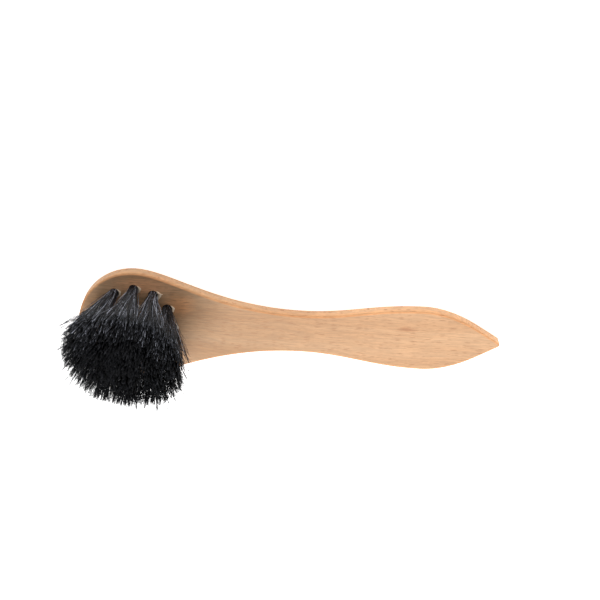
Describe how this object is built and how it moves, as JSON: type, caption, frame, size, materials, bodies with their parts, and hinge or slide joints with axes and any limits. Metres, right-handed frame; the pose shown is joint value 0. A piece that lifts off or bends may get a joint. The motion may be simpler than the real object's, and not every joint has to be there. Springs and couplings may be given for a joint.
{
  "type": "round-headed hand brush",
  "caption": "Short flat beech hand brush: round head drilled with rings of black bristle tufts, waisted handle tapering to a blunt point.",
  "frame": {"origin": "middle of the round head, on the flat back face", "axes": "+X along the handle towards its tail; +Z out of the bristle face, with the flat back facing -Z; +Y completes the right-handed set, across the board"},
  "size_m": [0.1761, 0.0462, 0.0387],
  "materials": {
    "beech": "bare sanded beech, matte",
    "black_bristle": "stiff black bristle, satin",
    "anchor_wire": "flattened galvanised wire"
  },
  "bodies": {
    "root": {"handle": "beech", "tuft_centre": "black_bristle", "tuft_inner_01": "black_bristle", "tuft_inner_02": "black_bristle", "tuft_inner_03": "black_bristle", "tuft_inner_04": "black_bristle", "tuft_inner_05": "black_bristle", "tuft_inner_06": "black_bristle", "tuft_outer_01": "black_bristle", "tuft_outer_02": "black_bristle", "tuft_outer_03": "black_bristle", "tuft_outer_04": "black_bristle", "tuft_outer_05": "black_bristle", "tuft_outer_06": "black_bristle", "tuft_outer_07": "black_bristle", "tuft_outer_08": "black_bristle", "tuft_outer_09": "black_bristle", "tuft_outer_10": "black_bristle", "tuft_outer_11": "black_bristle", "tuft_outer_12": "black_bristle", "anchor_centre": "anchor_wire", "anchor_inner_01": "anchor_wire", "anchor_inner_02": "anchor_wire", "anchor_inner_03": "anchor_wire", "anchor_inner_04": "anchor_wire", "anchor_inner_05": "anchor_wire", "anchor_inner_06": "anchor_wire", "anchor_outer_01": "anchor_wire", "anchor_outer_02": "anchor_wire", "anchor_outer_03": "anchor_wire", "anchor_outer_04": "anchor_wire", "anchor_outer_05": "anchor_wire", "anchor_outer_06": "anchor_wire", "anchor_outer_07": "anchor_wire", "anchor_outer_08": "anchor_wire", "anchor_outer_09": "anchor_wire", "anchor_outer_10": "anchor_wire", "anchor_outer_11": "anchor_wire", "anchor_outer_12": "anchor_wire"}
  },
  "joints": []
}
